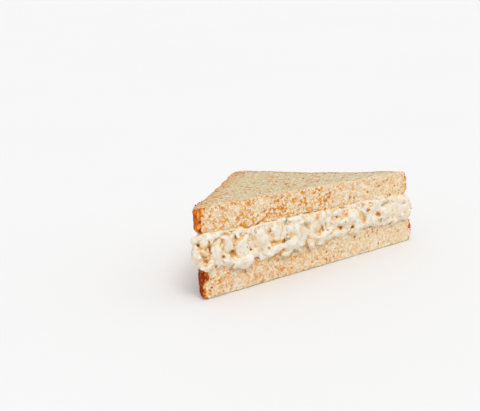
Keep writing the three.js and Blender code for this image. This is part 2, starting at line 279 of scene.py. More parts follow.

# Gaps between the lumps, pressed in and painted dark as shade, in millimetres, and how much deeper than
# that they fade out
GAP_FADE = 1.5
Gap = namedtuple("Gap", "pixel half_width half_height depth")
GAPS = {
    "slot left of the column": Gap((209.5, 250.5), 0.6, 2.2, 2.8),
    "top of that slot": Gap((209, 244.5), 0.6, 1.8, 1.4),
    "three cornered pocket": Gap((204.5, 261), 1.2, 2.0, 1.9),
    "bottom of that pocket": Gap((205.9, 266), 0.8, 0.8, 1.6),
    "corner under the column": Gap((222.7, 256.5), 0.7, 1.1, 2.4),
    "shade under that corner": Gap((224, 262), 1.0, 2.0, 1.2),
    "orange corner": Gap((216.5, 266), 0.7, 0.8, 1.8),
    "upright slot": Gap((232.4, 250), 0.7, 2.6, 2.1),
    "fold in the smooth mass": Gap((254.5, 231), 0.8, 2.2, 1.6),
    "dot in the smooth mass": Gap((250.3, 249.6), 0.6, 0.6, 2.4),
    "upper dot": Gap((249.3, 240), 0.5, 0.6, 1.2),
    "left of the round chunk": Gap((269.3, 231.5), 0.9, 1.8, 2.0),
    "between chunk and ball": Gap((274, 241.6), 1.6, 0.6, 1.6),
    "dots under the ball": Gap((268.9, 248.3), 0.8, 0.5, 1.6),
    "under the fibrous chunk": Gap((293.3, 251.3), 1.0, 0.6, 1.4),
    "small arch": Gap((300.2, 247.3), 1.0, 0.8, 1.4),
    "right of the shred": Gap((319.7, 231.9), 0.7, 0.8, 1.6),
    "pale dent": Gap((324.1, 225.4), 0.9, 0.7, 1.2),
    "small slot": Gap((327.9, 229.6), 0.8, 0.6, 1.8),
    "under the ledge": Gap((334, 217.5), 1.9, 0.8, 2.6),
    "arch": Gap((339.5, 226.8), 2.0, 1.2, 3.0),
    "slot in the big lump": Gap((352.5, 227.2), 0.8, 2.2, 2.2),
    "long dent": Gap((364.5, 220), 1.3, 1.9, 1.5),
    "beside the upper lump": Gap((367.2, 210.8), 1.2, 1.2, 2.8),
    "hole by the right mass": Gap((377.8, 213.7), 1.3, 1.1, 2.6),
    "hole on the lower slice": Gap((368.4, 228.4), 1.1, 0.9, 2.2),
    "hole under the upper slice": Gap((297.3, 213), 0.9, 0.6, 1.8),
    "left end of the upper shadow": Gap((225, 234.6), 3.0, 0.6, 1.8),
    "right end of the upper shadow": Gap((234, 231), 1.8, 0.5, 1.6),
    "shadow over the smooth mass": Gap((245.6, 228.4), 1.4, 0.5, 1.4),
    "shadow over the big lump": Gap((341, 208.4), 2.8, 0.5, 1.6),
}

# Bits of celery and flecks of herb that show at the cut, and how far apart the others lie
CELERY_BITS = {
    "under the upper slice": Lump((287.5, 222.5), 70, (4.0, 1.8, 1.4), -0.1),
    "strip on the green tinged lump": Lump((304.8, 223), 116, (7.0, 1.3, 1.2), -0.1),
    "bit at the upper right": Lump((384, 204), 74, (4.4, 1.5, 1.4), -0.2),
    "pale bit above it": Lump((388, 202), 66, (3.0, 1.4, 1.2), 0.1),
    "bit by the right mass": Lump((381.2, 220), 10, (2.4, 1.3, 1.2), -0.1),
    "bit on the lower lobe": Lump((233.3, 264.8), 50, (3.2, 1.2, 1.2), 0.0),
    "bit in the smooth mass": Lump((239.9, 234), 75, (2.6, 1.2, 1.2), 0.0),
}
HERB_FLECKS = {
    "by the celery": Lump((286.3, 219.8), 80, (2.2, 1.5, 0.9), -0.1),
    "over the fibrous chunk": Lump((287.1, 234.8), 20, (1.8, 1.2, 0.8), -0.1),
    "on the fibrous chunk": Lump((286.8, 238.8), 60, (2.3, 1.5, 0.9), -0.1),
    "beside that": Lump((289.8, 238.6), 10, (1.8, 1.3, 0.8), -0.1),
    "in the right strip": Lump((382.2, 205.2), 70, (2.8, 1.1, 0.9), -0.2),
    "in the right bit": Lump((381.4, 219), 20, (1.5, 1.2, 0.8), -0.1),
    "left dot of the big lump": Lump((345.5, 221.9), 0, (1.1, 0.6, 0.6), -0.1),
    "right dot of the big lump": Lump((355.5, 221.5), 0, (0.7, 0.6, 0.5), -0.1),
    "dot under the ledge": Lump((332.5, 213), 0, (0.6, 0.6, 0.5), -0.1),
    "dot in the smooth mass": Lump((246, 233), 0, (0.6, 0.6, 0.5), -0.1),
    "dot in the smooth mass's foot": Lump((247.2, 247), 0, (0.8, 0.6, 0.5), -0.1),
}
# How far behind the cut the photograph shows the salad, in millimetres
SHOWN_DEPTH = 6.0
Bits = namedtuple("Bits", "shown spacing length width seed")
CELERY = Bits(CELERY_BITS, 17.0, (2.2, 4.6), (1.0, 1.7), 400)
HERB = Bits(HERB_FLECKS, 13.0, (0.6, 1.4), (0.5, 0.9), 410)

# Loose crumbs on the rims of the crust, in millimetres: how far below the top and from the crust's
# middle they lie, and how baked they are
CRUMB_SPACING = 1.9
CRUMB_LENGTH = (0.9, 2.2)
CRUMB_WIDTH = (0.6, 1.3)
CRUMB_SUNK = (-0.15, 0.25)
CRUMBS_BELOW = 1.6
CRUMBS_FROM, CRUMBS_WITHIN = 0.5, 0.9
CRUMB_CRUST = 0.8


def srgb(*seen):
    """A colour seen as red, green and blue from 0 to 255, in the linear values that shaders use."""
    linear = (c / 255 / 12.92 if c < 11 else ((c / 255 + 0.055) / 1.055) ** 2.4 for c in seen)
    return (*linear, 1)


# Colours, and the floor's as linear values
PALE_FACE, DULL_FACE, FACE_SPECKS = srgb(208, 208, 188), srgb(191, 173, 128), srgb(186, 110, 36)
PALE_CUT, TAN_CUT = srgb(228, 220, 201), srgb(225, 197, 152)
# Painted shade in the crumb's hollows, on a face and on the cut
FACE_HOLLOW_SHADE, CUT_HOLLOW_SHADE = srgb(176, 132, 74), srgb(208, 144, 56)
ORANGE, DEEP_ORANGE = srgb(216, 146, 40), srgb(204, 112, 12)
GOLDEN, BROWN, DARK_BROWN = srgb(228, 165, 82), srgb(209, 112, 32), srgb(130, 42, 10)
CREAM, WARM_CREAM, GREEN_TINGE = srgb(227, 224, 214), srgb(226, 210, 186), srgb(212, 204, 168)
PALE_CHICKEN, TAN_CHICKEN = srgb(232, 218, 196), srgb(226, 200, 162)
CELERY_GREEN, CELERY_BROWN, CELERY_PALE = srgb(204, 190, 144), srgb(146, 122, 66), srgb(214, 204, 172)
HERB_DARK, HERB_PALE = srgb(132, 134, 116), srgb(186, 180, 154)
FLOOR_PALE, FLOOR_DULL = (0.8, 0.8, 0.8, 1), (0.78, 0.78, 0.78, 1)

# Colours that follow a number kept with the mesh: from where to where it turns, how far, and the colour
Tint = namedtuple("Tint", "number low high strength colour")
TOASTED_TINT = Tint("toasted", 0.0, 1.0, 0.4, srgb(200, 164, 116))
# Painted shade inside the crumb's larger pores
PORE_SHADE_TINT = Tint("pore", 0.6, 1.0, 0.8, srgb(168, 96, 40))
CRUST_TINT = Tint("crust", 0.0, 0.6, 0.85, GOLDEN)
# Painted shade on the salad: tan to brown where a point lies in a groove, is closed in by the salad and
# bread around it, or lies in a pressed-in gap
PAINTED_SALAD_SHADE = (
    Tint("groove", 0.2, 1.0, 0.4, srgb(226, 186, 124)),
    Tint("shade", 0.1, 0.46, 0.75, srgb(228, 186, 116)),
    Tint("shade", 0.5, 0.82, 0.7, srgb(214, 150, 66)),
    Tint("shade", 0.82, 1.0, 0.7, srgb(168, 88, 20)),
    Tint("gap", 0.6, 2.4, 0.6, srgb(186, 108, 34)),
)
# The same for other numbers: from where to where one turns, and the least and most that it becomes
TOASTED_SPECKS = (0.2, 1.0, 0.0, 0.09)
SPECK_RANGE = (0.575, 0.62, 0.0, 0.85)
# How far the crumb's hollows are painted with shade
HOLLOW_SHADE_RANGE = (0.03, 0.3, 0.0, 0.8)
BROWN_RANGE, DARK_RANGE = (-0.2, 0.5), (0.35, 1.15)
CRUST_RANGE = (0.35, 0.85)
MEAT_RANGE = (0.3, 0.9, 0.0, 0.8)
# Patterns of noise: size in millimetres, the same four numbers, and the noise's detail and roughness
Pattern = namedtuple("Pattern", "size low high least most detail roughness", defaults=(0.0, 1.0, 3.0, 0.55))
FACE_GRAIN = Pattern(1.0, 0.4, 0.6)
CUT_PATCHES = Pattern(1.3, 0.4, 0.6)
BRAN_CLUSTERS = Pattern(6.5, 0.34, 0.58, 0.35, 1.0, 1.0)
SOFT_BRAN = Pattern(1.6, 0.49, 0.57, 0.0, 0.95, 3.0, 0.6)
STRONG_BRAN = Pattern(2.0, 0.55, 0.59, 0.0, 0.95, 4.0, 0.7)
CRUST_MOTTLE = Pattern(2.2, 0.3, 0.7, -0.38, 0.38, 5.0, 0.7)
CREAM_SMUDGES = Pattern(2.4, 0.38, 0.62)
GREEN_PATCHES = Pattern(6.5, 0.56, 0.68, 0.0, 0.2, 1.0)
CELERY_PATCHES = Pattern(2.6, 0.45, 0.66)
SPECK_NOISE = (1.8, 5.0, 0.7)
# Flecks: spacing in millimetres, radius as a share of it, the share of places with one, how far in
# millimetres they are pulled out of round, and colour
Flecks = namedtuple("Flecks", "spacing radius share reach colour")
FACE_FLECKS = (
    Flecks(2.4, 0.36, 0.34, 0.8, srgb(190, 104, 26)),
    Flecks(4.2, 0.3, 0.5, 1.2, srgb(186, 100, 24)),
)
BRAN_FLECKS = Flecks(3.3, 0.32, 0.16, 1.2, srgb(202, 118, 34))
FLECK_BEND = 1.6
FLECK_CORE = 0.55
FLECK_STEP = 0.02

# Light: strength of the sky, and the sun's direction and width in degrees and its strength
SKY_STRENGTH = 0.88
SUN_AZIMUTH, SUN_ELEVATION, SUN_WIDTH = -10, 55, 25
SUN_STRENGTH = 1.2
# Floor: half its width in metres, and how far it lies below the half and how large its patches are, in
# millimetres
FLOOR_REACH = 40.0
FLOOR_BELOW = 0.2
FLOOR_PATCHES = 300
SENSOR_WIDTH = 36.0


# Numbers and noise

HASH_MASK = 0xFFFFFFFF


def smoothstep(low, high, value):
    t = np.clip((value - low) / (high - low), 0, 1)
    return t * t * (3 - 2 * t)


def unit(vector):
    return vector / np.linalg.norm(vector)


def cell_random(cells, seed):
    """Three even random numbers from 0 to 1 for each whole-numbered cell."""
    scrambled = seed * 2654435761
    for axis, prime in enumerate((73856093, 19349663, 83492791)):
        scrambled = scrambled ^ (cells[..., axis].astype(np.int64) * prime)
    numbers = []
    for _ in range(3):
        scrambled = scrambled & HASH_MASK
        scrambled = (scrambled ^ (scrambled >> 15)) * 0x2C1B3C6D & HASH_MASK
        scrambled = (scrambled ^ (scrambled >> 12)) * 0x297A2D39 & HASH_MASK
        scrambled = scrambled ^ (scrambled >> 15)
        numbers.append(scrambled / HASH_MASK)
        scrambled = scrambled + 0x9E3779B9
    return np.stack(numbers, -1)


def waves(points, size, seed):
    """Smooth noise from -1 to 1 whose bumps are about size across."""
    p = points / size
    base = np.floor(p)
    f = p - base
    f = f * f * (3 - 2 * f)
    total = 0
    for corner in itertools.product((0, 1), repeat=3):
        weight = np.prod(np.where(np.array(corner), f, 1 - f), axis=-1)
        total = total + weight * cell_random(base + corner, seed)[..., 0]
    return 2 * total - 1


def wandering(points, size, reach, seed):
    """The points moved about by up to reach, neighbours alike."""
    return points + reach * np.stack([waves(points, size, seed + i) for i in range(3)], -1)


def pores(points, size, seed, least, most):
    """How deep each point lies in scattered round pores: 1 at a pore's middle and 0 outside it.
    size is the spacing, and least and most are the pores' radii as shares of it."""
    p = points / size
    base = np.floor(p)
    deepest = np.zeros(len(points))
    for step in itertools.product((-1, 0, 1), repeat=3):
        cell = base + step
        centre = cell + cell_random(cell, seed)
        radius = least + (most - least) * cell_random(cell, seed + 1)[..., 0] ** 2
        distance = ((p - centre) ** 2).sum(-1)
        deepest = np.maximum(deepest, 1 - distance / radius ** 2)
    return deepest


def uneven(points, seed, *layers, level=0):
    """Layers of waves, one on the other, that rise and fall about a level."""
    return sum((layer.height * waves(points, layer.size, seed + layer.number) for layer in layers), level)


def pitted(points, seed, kind):
    """How deep each point lies in pores of a kind."""
    return pores(points, kind.size, seed + kind.number, kind.least, kind.most)


# Meshes

def points_of(mesh):
    """The mesh's vertices in millimetres."""
    flat = np.empty(len(mesh.vertices) * 3)
    mesh.vertices.foreach_get("co", flat)
    return flat.reshape(-1, 3) / MM


def move_points(mesh, points):
    mesh.vertices.foreach_set("co", (points * MM).ravel())
    mesh.update()


def normals_of(mesh):
    flat = np.empty(len(mesh.vertices) * 3)
    mesh.vertex_normals.foreach_get("vector", flat)
    return flat.reshape(-1, 3)


def edges_of(mesh):
    flat = np.empty(len(mesh.edges) * 2, dtype=np.int64)
    mesh.edges.foreach_get("vertices", flat)
    return flat.reshape(-1, 2)


def triangles_of(mesh):
    mesh.calc_loop_triangles()
    flat = np.empty(len(mesh.loop_triangles) * 3, dtype=np.int64)
    mesh.loop_triangles.foreach_get("vertices", flat)
    return flat.reshape(-1, 3)


def mesh_of(name, points, triangles):
    """A new mesh of triangles between points in millimetres."""
    mesh = bpy.data.meshes.new(name)
    mesh.from_pydata((points * MM).tolist(), [], triangles.tolist())
    return mesh


def packed_solid(node):
    """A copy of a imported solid's mesh, with the corners that its faces share made one."""
    shape = bmesh.new()
    shape.from_mesh(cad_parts[node].data)
    bmesh.ops.remove_doubles(shape, verts=shape.verts, dist=1e-3 * MM)
    mesh = bpy.data.meshes.new(node)
    shape.to_mesh(mesh)
    shape.free()
    return mesh


def joined(shapes):
    """The points and triangles of several shapes as one."""
    starts = np.cumsum([0] + [len(points) for points, _ in shapes])
    points = np.concatenate([points for points, _ in shapes])
    return points, np.concatenate([triangles + start for (_, triangles), start in zip(shapes, starts)])


def ball(detail):
    """Points and triangles of a ball of radius 1."""
    shape = bmesh.new()
    bmesh.ops.create_icosphere(shape, subdivisions=detail, radius=1)
    shape.verts.ensure_lookup_table()
    points = np.array([vertex.co[:] for vertex in shape.verts])
    triangles = np.array([[vertex.index for vertex in face.verts] for face in shape.faces])
    shape.free()
    return points, triangles


def relaxed(points, edges, rounds):
    """The points after each has moved to the mean of its neighbours, round after round."""
    ends = np.concatenate([edges[:, 0], edges[:, 1]])
    others = np.concatenate([edges[:, 1], edges[:, 0]])
    count = np.bincount(ends, minlength=len(points))[:, None]
    for _ in range(rounds):
        total = np.stack([np.bincount(ends, points[others, i], len(points)) for i in range(3)], -1)
        points = 0.5 * points + 0.5 * total / count
    return points


def cavity_of(mesh, rounds):
    """How far each vertex lies below the smoothed surface, in millimetres: negative on a bump."""
    points = points_of(mesh)
    smooth = relaxed(points, edges_of(mesh), rounds)
    return ((smooth - points) * normals_of(mesh)).sum(-1)


def add_number(mesh, name, values):
    attribute = mesh.attributes.new(name, "FLOAT", "POINT")
    attribute.data.foreach_set("value", values.astype(np.float32))


def smooth_faces(mesh):
    mesh.polygons.foreach_set("use_smooth", [True] * len(mesh.polygons))


def surface_tree(*meshes):
    """A tree that finds points on the meshes' surfaces, in millimetres."""
    points, triangles = joined([(points_of(mesh), triangles_of(mesh)) for mesh in meshes])
    return BVHTree.FromPolygons(points.tolist(), triangles.tolist())


def new_piece(name, mesh):
    piece = bpy.data.objects.new(name, mesh)
    bpy.context.scene.collection.objects.link(piece)
    return piece


def bake_modifiers(piece):
    bpy.context.view_layer.update()
    baked = bpy.data.meshes.new_from_object(piece.evaluated_get(bpy.context.evaluated_depsgraph_get()))
    old = piece.data
    piece.modifiers.clear()
    piece.data = baked
    bpy.data.meshes.remove(old)


def remeshed(name, mesh, voxel):
    """A piece with the mesh's form in even small faces, voxel millimetres across."""
    piece = new_piece(name, mesh)
    modifier = piece.modifiers.new("even faces", "REMESH")
    modifier.mode = "VOXEL"
    modifier.voxel_size = voxel * MM
    modifier.adaptivity = 0
    bake_modifiers(piece)
    piece.data.materials.clear()
    return piece


def thin_out(piece, hidden):
    """Fewer, larger faces where hidden is 1, down to a count that the piece may have."""
    group = piece.vertex_groups.new(name="hidden")
    for step in range(1, THIN_STEPS + 1):
        members = np.nonzero((hidden > (step - 1) / THIN_STEPS) & (hidden <= step / THIN_STEPS))[0]
        group.add(members.tolist(), step / THIN_STEPS, "REPLACE")
    modifier = piece.modifiers.new("fewer faces", "DECIMATE")
    modifier.ratio = min(1.0, MOST_FACES / len(triangles_of(piece.data)))
    modifier.vertex_group = group.name
    bake_modifiers(piece)
    piece.vertex_groups.clear()
    smooth_faces(piece.data)


def scattered(mesh, chance, spacing, tries, random):
    """Random places on the mesh at least spacing apart, and the surface's outward directions there.
    chance gives how likely a place is from its point and direction."""
    points, triangles = points_of(mesh), triangles_of(mesh)
    a, b, c = (points[triangles[:, i]] for i in range(3))
    normals = np.cross(b - a, c - a)
    areas = np.linalg.norm(normals, axis=1)
    normals = normals / np.maximum(areas, 1e-9)[:, None]
    chances = areas * chance((a + b + c) / 3, normals)
    chosen = random.choice(len(areas), tries, p=chances / chances.sum())
    u, v = random.uniform(size=(2, tries, 1))
    u, v = np.where(u + v > 1, 1 - u, u), np.where(u + v > 1, 1 - v, v)
    places = a[chosen] + u * (b - a)[chosen] + v * (c - a)[chosen]
    kept = []
    for i, place in enumerate(places):
        if not kept or np.linalg.norm(places[kept] - place, axis=1).min() > spacing:
            kept.append(i)
    return places[kept], normals[chosen[kept]]


# Bread

class SlicePlace:
    """Where a half slice lies: the middle of its cut in plan, its length along the cut as a share of
    the whole slice's, and its heights."""

    def __init__(self, node):
        low, high = (Vector(corner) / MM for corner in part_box(node))
        self.middle_x = (low.x + high.x) / 2
        self.cut_y = high.y - HALF_CUT
        self.share = (high.x - low.x) / 2 / HALF_CUT
        self.low_z, self.high_z = low.z, high.z

    def crust_depth(self, points):
        """Distance from each point to the crust's outer side, in plan."""
        x = (points[:, 0] - self.middle_x) / self.share
        y = points[:, 1] - self.cut_y
        along, across = (x - y) / math.sqrt(2), (x + y) / math.sqrt(2)
        reach = SLICE_SIDE / 2 - CORNER_RADIUS
        waist = SIDE_WAIST * np.clip(1 - (np.minimum(abs(along), abs(across)) / reach) ** 2, 0, 1)
        q = np.stack([abs(along) - reach, abs(across) - reach], -1)
        outside = np.hypot(np.maximum(q[:, 0], 0), np.maximum(q[:, 1], 0))
        return CORNER_RADIUS - outside - np.minimum(np.maximum(q[:, 0], q[:, 1]), 0) - waist

    def inside(self, points):
        """Distance from each point to the nearest side of the half, in plan: negative outside it."""
        return np.minimum(points[:, 1] - self.cut_y, self.crust_depth(points))

    def outward(self, point):
        """Level direction from the point out of the half's nearest side."""
        steps = np.array([(1.0, 0, 0), (-1.0, 0, 0), (0, 1.0, 0), (0, -1.0, 0)])
        right, left, behind, before = self.inside(point + steps)
        return np.array([left - right, before - behind, 0]) + (0, -1e-6, 0)


def crumb_sink(points, facing_cut, pits, seed):
    """How deep the open crumb is sunk by its pores at each point, in millimetres."""
    openness = 0.45 + 0.7 * smoothstep(-0.4, 0.5, uneven(points, seed, OPEN_CRUMB))
    deep = sum(kind.depth * pit for kind, pit in zip(CRUMB_PORES, pits))
    return deep * openness * (0.55 + 0.55 * facing_cut)


def bark_sink(points, seed):
    """How deep the crust's skin is sunk by its wrinkles and pits at each point, in millimetres."""
    wide = (0.24 + 0.3 * smoothstep(*PALE_END, points[:, 0])) * uneven(points, seed, WIDE_WRINKLES)
    wrinkles = wide + uneven(points, seed, FINE_WRINKLES)
    return BARK_SINK + (wrinkles + CRUST_PITS.depth * pitted(points, seed, CRUST_PITS))


def torn_rim(mesh, points, facing_salad, seed):
    """How deep the slice's rims are torn at each point, from -0.35 to 1.2. Those on the salad are hardly
    torn."""
    rim = smoothstep(*RIM_HEIGHT, -cavity_of(mesh, RIM_ROUNDS))
    rim = rim * (1 - 0.8 * smoothstep(-0.1, 0.3, facing_salad))
    return rim * np.clip(uneven(points, seed, *TORN_RIM, level=0.3), -0.35, 1.2)


def crust_share(points, normals, facing_cut, frayed):
    """How far each point has the crust's colour, from its frayed distance to the crust's outer side."""
    on_cut = facing_cut * (1 - 0.7 * smoothstep(*PALE_END, points[:, 0]))
    on_flat = smoothstep(*FLAT_SLOPE, abs(normals[:, 2]))
    ends = zip(CRUST_SIDE, CRUST_ON_CUT, CRUST_ON_FLAT)
    return 1 - smoothstep(*(side + cut * on_cut + flat * on_flat for side, cut, flat in ends), frayed)


def bread_slice(name, node, hidden_side, darker, seed):
    """A half slice with open crumb on its faces and its cut, and a wrinkled crust. hidden_side is 1
    where the salad lies on it and -1 where it lies on the salad, and darker adds to how dark its crust is."""
    piece = remeshed(name, packed_solid(node), BREAD_VOXEL)
    place = SlicePlace(node)
    under = smoothstep(*HIDDEN_SLOPE, hidden_side * normals_of(piece.data)[:, 2])
    thin_out(piece, under * smoothstep(*BREAD_THINNED, place.inside(points_of(piece.data))))

    mesh = piece.data
    points, normals = points_of(mesh), normals_of(mesh)
    facing_cut = smoothstep(*CUT_SLOPE, -normals[:, 1])
    facing_salad = hidden_side * normals[:, 2]
    depth = place.crust_depth(points)
    wander = uneven(points, seed, *CRUST_WANDER)
    bent = wandering(points, *CRUMB_BEND, seed + 1)
    large, middle, small = (pitted(bent, seed, kind) for kind in CRUMB_PORES)
    crumb = crumb_sink(points, facing_cut, (large, middle, small), seed)
    bark = 1 - smoothstep(*BARK_DEPTH, depth + (BARK_SIDE_FRAY + BARK_CUT_FRAY * facing_cut) * wander)
    sink = crumb * (1 - bark) + bark_sink(points, seed) * bark
    sink = sink + RIM_SINK * torn_rim(mesh, points, facing_salad, seed) * (1 - 0.4 * bark)
    sink = np.maximum(sink + uneven(points, seed, BREAD_FUZZ), -MOST_RAISED)
    on_table = smoothstep(*TABLE_SLOPE, -normals[:, 2]) if place.low_z < 1 else 0
    hidden = smoothstep(*HIDDEN_SLOPE, facing_salad) * smoothstep(*HIDDEN_INSIDE, place.inside(points))
    sink = sink * (1 - 0.4 * on_table) * (1 - hidden)
    move_points(mesh, points - normals * sink[:, None])

    from_cut = points[:, 1] - place.cut_y + uneven(points, seed, CUT_WANDER)
    sawn = np.maximum(facing_cut, SAWN_FACE * (1 - smoothstep(*SAWN_REACH, from_cut)))
    bran = (FACE_BRAN + (1 - FACE_BRAN) * sawn) * (1 - 0.6 * smoothstep(*LESS_BRAN, points[:, 0]))
    fray = CUT_FRAY * wander + uneven(points, seed, CRUST_FRAY)
    frayed = depth + SIDE_FRAY * wander + facing_cut * fray
    add_number(mesh, "crust", crust_share(points, normals, facing_cut, frayed))
    add_number(mesh, "toasted", 1 - smoothstep(0.0, TOASTED_WIDTH, depth + 2 * wander))
    add_number(mesh, "crust_darkness", crust_darkness(points, seed) + darker + sawn * uneven(points, seed, CRUST_SPOTS))
    add_number(mesh, "bran", bran * (1 - 0.8 * darker))
    add_number(mesh, "sawn", sawn)
    # pore: how deep a point lies in a large or middle pore, painted with shade by the material
    add_number(mesh, "pore", np.clip(0.8 * large + 0.4 * middle, 0, 1))
    # cavity: how far a point lies below the smoothed surface, painted with shade in the crumb's hollows
    add_number(mesh, "cavity", cavity_of(mesh, CAVITY_ROUNDS))
    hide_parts(node)
    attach(piece, "root")
    return piece


def crust_darkness(points, seed):
    """How dark the crust is: most at the cut's left end, and least at its right end."""
    end = smoothstep(CAD_BOX[1][0] / MM, CAD_BOX[0][0] / MM, points[:, 0])
    return LEAST_BAKE + LEFT_END_DARKENING * end + uneven(points, seed, BAKE_PATCHES)


def crust_crumbs(node, slice_mesh, seed):
    """Loose crumbs on the rim of a slice's crust and along its cut."""
    random = np.random.default_rng(seed)
    place = SlicePlace(node)

    def near_the_rim(points, normals):
        on_top = abs(points[:, 2] - place.high_z) < CRUMBS_BELOW
        by_crust = abs(place.crust_depth(points) - CRUMBS_FROM) < CRUMBS_WITHIN
        return on_top * by_crust + 1e-9

    chunks = []
    for where, outward in zip(*scattered(slice_mesh, near_the_rim, CRUMB_SPACING, CRUMB_TRIES, random)):
        size = chunk_size(random, CRUMB_LENGTH, CRUMB_WIDTH, CRUMB_WIDTH)
        turn = random.uniform(0, math.pi)
        chunks.append(chunk_on(where, outward, turn, size, random.uniform(*CRUMB_SUNK) * size[2]))
    piece = bits_piece(node + "_crumbs", chunks, random)
    points = points_of(piece.data)
    add_number(piece.data, "crust", np.full(len(points), CRUMB_CRUST))
    add_number(piece.data, "toasted", np.ones(len(points)))
    add_number(piece.data, "crust_darkness", crust_darkness(points, seed))
    for name in ("bran", "sawn", "pore", "cavity"):
        add_number(piece.data, name, np.zeros(len(points)))
    return piece


# Salad

# A torn piece of chicken: its middle, its own three directions as rows, and its size along them
Chunk = namedtuple("Chunk", "middle directions size")


def chunk_on(point, outward, turn, size, sunk):
    """A chunk on a surface at the point. turn is in radians clockwise from upright."""
    away = unit(outward)
    level = unit(np.cross((0, 0, 1) if abs(away[2]) < 0.9 else (0, -1, 0), away))
    upright = np.cross(away, level)
    long_way = math.cos(turn) * upright + math.sin(turn) * level
    directions = np.stack([long_way, np.cross(away, long_way), away])
    return Chunk(point - sunk * away, directions, np.array(size))


def chunk_shape(shape, chunk, random):
    """The ball's points made into the chunk: lumpy, bent, and flat where the meat was cut or torn."""
    points, triangles = shape
    lumpy = points * uneven(points + random.uniform(0, 100, 3), 0, CHUNK_LUMPS, level=1)[:, None]
    for _ in range(CHUNK_FLATS):
        side = unit(random.normal(size=3))
        beyond = np.maximum(lumpy @ side - random.uniform(*FLAT_AT), 0)
        lumpy = lumpy - beyond[:, None] * side
    lumpy[:, 1:] += random.normal(0, CHUNK_BEND, 2) * (lumpy[:, :1] ** 2 - BEND_MIDDLE)
    return lumpy * chunk.size / 2 @ chunk.directions + chunk.middle, triangles


def chunk_size(random, length, width, thickness):
    return [random.uniform(*reach) for reach in (length, width, thickness)]


def photo_ray(x, y):
    """Start, in millimetres, and direction of the line of sight through a pixel of the photograph."""
    eye = bpy.context.scene.camera.matrix_world
    ahead = Vector(((x - PHOTO_WIDTH / 2) / FOCAL_PX, (PHOTO_HEIGHT / 2 - y) / FOCAL_PX, -1))
    return eye.translation / MM, (eye.to_3x3() @ ahead).normalized()


def seen_at(tree, pixel, cut_y):
    """The point on the surface that the pixel shows, or the point on the cut's plane beside it."""
    start, way = photo_ray(*pixel)
    hit = tree.ray_cast(start, way)[0]
    return np.array(hit if hit is not None else start + way * (cut_y - start.y) / way.y)


def shown_chunks(lumps, tree, place):
    """Chunks on the surface where the photograph shows the lumps."""
    chunks = []
    for lump in lumps.values():
        point = seen_at(tree, lump.pixel, place.cut_y)
        turn = math.radians(lump.turn)
        chunks.append(chunk_on(point, place.outward(point), turn, lump.size, lump.sunk))
    return chunks


def covers(chunk, point, share):
    """Whether the point lies within a share of the chunk's size from its middle."""
    return np.linalg.norm(chunk.directions @ (point - chunk.middle) / chunk.size) < share / 2


def near_the_sides(place):
    """How likely a point on the filling's surface is to get a chunk of its own."""
    def chance(points, normals):
        inside = place.inside(points)
        flat = smoothstep(*SIDE_SLOPE, abs(normals[:, 2])) * (inside > 0.5)
        return (inside < SIDE_DEPTH) * (1 - flat) + 1e-9
    return chance


def fits(chunk, tree):
    """Whether neither end of the chunk reaches far out of the filling."""
    for end in (-0.5, 0.5):
        tip = Vector(chunk.middle + end * chunk.size[0] * chunk.directions[0])
        nearest, normal, _, distance = tree.find_nearest(tip)
        if distance > MOST_OVERHANG and (tip - nearest).dot(normal) > 0:
            return False
    return True


def edge_lumps(filling, tree, place, random):
    """Small chunks along the filling's upper and lower edges, which close them to the bread."""
    chunks = []
    for where, _ in zip(*scattered(filling, near_the_sides(place), EDGE_SPACING, EDGE_TRIES, random)):
        outward = place.outward(where)
        inward = Vector(where - EDGE_INSIDE * unit(outward))
        for way, within in (((0, 0, 1), EDGE_BELOW), ((0, 0, -1), EDGE_ABOVE)):
            edge = tree.ray_cast(inward, way)[0]
            sunk = random.uniform(*EDGE_SUNK)
            if edge is None:
                continue
            seam = np.array([where[0], where[1], edge[2]])
            chunks.append(chunk_on(seam, outward, math.pi / 2, SEAM_SIZE, SEAM_SUNK))
            point = np.array([where[0], where[1], edge[2] - random.uniform(*within) * way[2]])
            size = chunk_size(random, EDGE_LENGTH, EDGE_WIDTH, EDGE_WIDTH)
            turn = math.pi / 2 + random.normal(0, EDGE_TURN)
            chunks.append(chunk_on(point, outward + random.normal(0, EDGE_TILT, 3), turn, size, sunk))
    return chunks


def salad_forms(filling, place, random):
    """The lumps that give the salad its form at the cut and between the crusts."""
    tree = surface_tree(filling)
    shown = shown_chunks(LUMPS, tree, place)
    others = []
    for chunk in edge_lumps(filling, tree, place, random):
        if not any(covers(other, chunk.middle, 1.1) for other in shown):
            others.append(chunk)
    for where, _ in zip(*scattered(filling, near_the_sides(place), CHUNK_SPACING, CHUNK_TRIES, random)):
        size = chunk_size(random, CHUNK_LENGTH, CHUNK_WIDTH, CHUNK_THICKNESS)
        outward = place.outward(where) + random.normal(0, CHUNK_TILT, 3)
        turn = random.normal(0, CHUNK_TURN)
        chunk = chunk_on(where, outward, turn, size, random.uniform(*CHUNK_SUNK))
        if not any(covers(other, where, 1.2) for other in shown):
            others.append(chunk)
    return shown + [chunk for chunk in others if fits(chunk, tree)]


def open_gaps(mesh, cut_y):
    """The mesh's points after the dark gaps in the photograph are pressed into it, and how deep each
    point lies in one."""
    points = points_of(mesh)
    tree = surface_tree(mesh)
    eye = bpy.context.scene.camera.matrix_world.to_3x3()
    right, up = np.array(eye.col[0]), np.array(eye.col[1])
    deepest = np.zeros(len(points))
    bent = wandering(points, *GAP_BEND)
    pressed = points
    for gap in GAPS.values():
        way = np.array(photo_ray(*gap.pixel)[1])
        offset = bent - seen_at(tree, gap.pixel, cut_y)
        level, rise = offset @ right / gap.half_width, offset @ up / gap.half_height
        away = offset @ way / (gap.depth + GAP_FADE)
        share = np.exp(-(level ** 2 + rise ** 2 + away ** 2))
        pressed = pressed + way * (gap.depth * share)[:, None]
        deepest = np.maximum(deepest, gap.depth * share)
    return pressed, deepest


